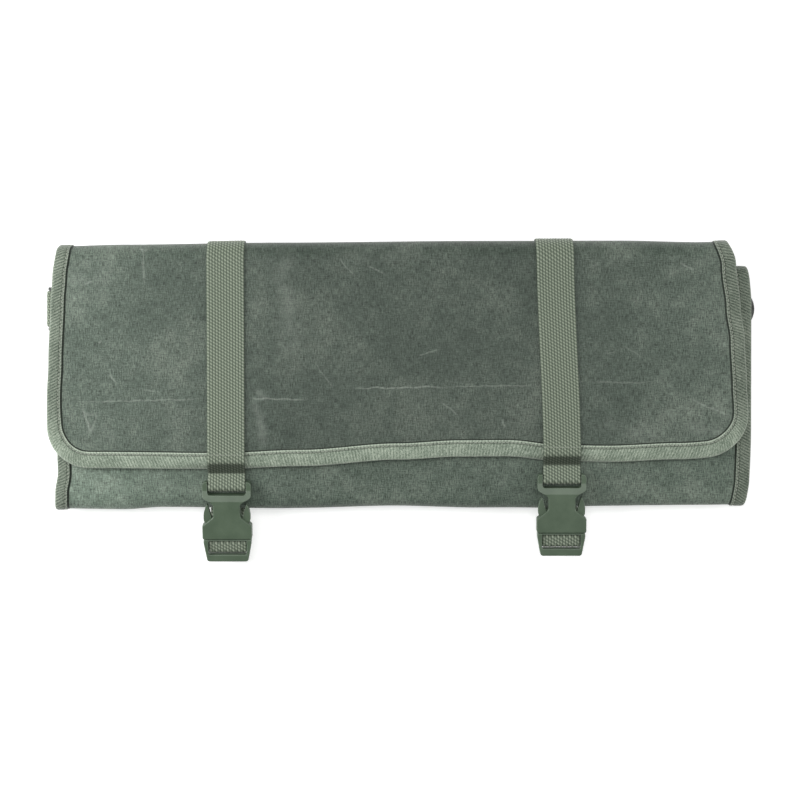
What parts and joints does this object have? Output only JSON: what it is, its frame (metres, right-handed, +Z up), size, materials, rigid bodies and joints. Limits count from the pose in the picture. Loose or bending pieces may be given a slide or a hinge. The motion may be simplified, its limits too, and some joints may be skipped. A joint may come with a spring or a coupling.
{
  "type": "carving tool roll",
  "caption": "Waxed-canvas roll for carving tools, rolled up flat, with a bound front flap, webbing straps, side-release buckles and end rings.",
  "frame": {"origin": "centre of the rolled-up object's footprint, on the table it lies on", "axes": "+X along the roll, +Y from the buckles towards the top fold, +Z up out of the front flap"},
  "size_m": [0.4849, 0.2166, 0.0334],
  "materials": {
    "waxed_canvas": "dark grey-green waxed cotton canvas with pale creases",
    "lining_cloth": "plain matt cotton lining",
    "pocket_canvas": "matt cotton canvas",
    "binding_tape": "ribbed grey-green twill tape",
    "webbing": "coarse grey-green woven webbing",
    "buckle_plastic": "satin moulded grey-green acetal",
    "ring_metal": "dark gunmetal plating"
  },
  "bodies": {
    "root": {"shell_canvas": "waxed_canvas", "shell_lining": "lining_cloth", "pocket_panel": "pocket_canvas", "cover_flap": "pocket_canvas", "d_ring_tab_left": "webbing", "d_ring_tab_right": "webbing", "left_end_binding": "binding_tape", "right_end_binding": "binding_tape", "core_edge_binding": "binding_tape", "back_strap_left": "webbing", "tail_anchor_left": "webbing", "back_strap_right": "webbing", "tail_anchor_right": "webbing"},
    "flap": {"flap_canvas": "waxed_canvas", "flap_lining": "lining_cloth", "flap_binding": "binding_tape", "front_strap_left": "webbing", "front_strap_right": "webbing"},
    "socket_left": {"buckle_female_left": "buckle_plastic"},
    "tail_left": {"buckle_male_left": "buckle_plastic", "tail_strap_left": "webbing"},
    "prong_left_a": {"prong_left_a": "buckle_plastic"},
    "prong_left_b": {"prong_left_b": "buckle_plastic"},
    "ring_left": {"d_ring_left": "ring_metal"},
    "socket_right": {"buckle_female_right": "buckle_plastic"},
    "tail_right": {"buckle_male_right": "buckle_plastic", "tail_strap_right": "webbing"},
    "prong_right_a": {"prong_right_a": "buckle_plastic"},
    "prong_right_b": {"prong_right_b": "buckle_plastic"},
    "ring_right": {"d_ring_right": "ring_metal"}
  },
  "joints": [
    {"name": "flap_open", "type": "hinge", "parent": "root", "child": "flap", "pos_m": [0, 0.10832, 0.0181], "axis": [-1, 0, 0], "range_deg": [0, 170]},
    {"name": "socket_swing_left", "type": "hinge", "parent": "flap", "child": "socket_left", "pos_m": [-0.1163, -0.05628, 0.02578], "axis": [-1, 0, 0], "range_deg": [0, 100]},
    {"name": "buckle_release_left", "type": "slide", "parent": "root", "child": "tail_left", "axis": [0, -0.9703, -0.2419], "range_m": [0, 0.03], "deforming": ["tail_strap_left", "prong_left_a", "prong_left_b"]},
    {"name": "prong_press_left_a", "type": "hinge", "parent": "tail_left", "child": "prong_left_a", "pos_m": [-0.1269, -0.09106, 0.01855], "axis": [0, 0.2419, -0.9703], "range_deg": [0, 6], "stiffness_Nm_per_rad": 0.3},
    {"name": "prong_press_left_b", "type": "hinge", "parent": "tail_left", "child": "prong_left_b", "pos_m": [-0.1057, -0.09106, 0.01855], "axis": [0, -0.2419, 0.9703], "range_deg": [0, 6], "stiffness_Nm_per_rad": 0.3},
    {"name": "ring_swing_left", "type": "hinge", "parent": "root", "child": "ring_left", "pos_m": [-0.2391, 0.06362, 0.00255], "axis": [0, 1, 0], "range_deg": [0, 170]},
    {"name": "socket_swing_right", "type": "hinge", "parent": "flap", "child": "socket_right", "pos_m": [0.109, -0.05138, 0.02682], "axis": [-1, 0, 0], "range_deg": [0, 100]},
    {"name": "buckle_release_right", "type": "slide", "parent": "root", "child": "tail_right", "axis": [0, -0.9877, -0.1564], "range_m": [0, 0.03], "deforming": ["tail_strap_right", "prong_right_a", "prong_right_b"]},
    {"name": "prong_press_right_a", "type": "hinge", "parent": "tail_right", "child": "prong_right_a", "pos_m": [0.0984, -0.08666, 0.02265], "axis": [0, 0.1564, -0.9877], "range_deg": [0, 6], "stiffness_Nm_per_rad": 0.3},
    {"name": "prong_press_right_b", "type": "hinge", "parent": "tail_right", "child": "prong_right_b", "pos_m": [0.1196, -0.08666, 0.02265], "axis": [0, -0.1564, 0.9877], "range_deg": [0, 6], "stiffness_Nm_per_rad": 0.3},
    {"name": "ring_swing_right", "type": "hinge", "parent": "root", "child": "ring_right", "pos_m": [0.2245, 0.06362, 0.00255], "axis": [0, 1, 0], "range_deg": [0, 170]}
  ],
  "couplings": [
    {"joint": "prong_press_left_b", "follows": "prong_press_left_a", "ratio": 1},
    {"joint": "prong_press_right_b", "follows": "prong_press_right_a", "ratio": 1}
  ]
}
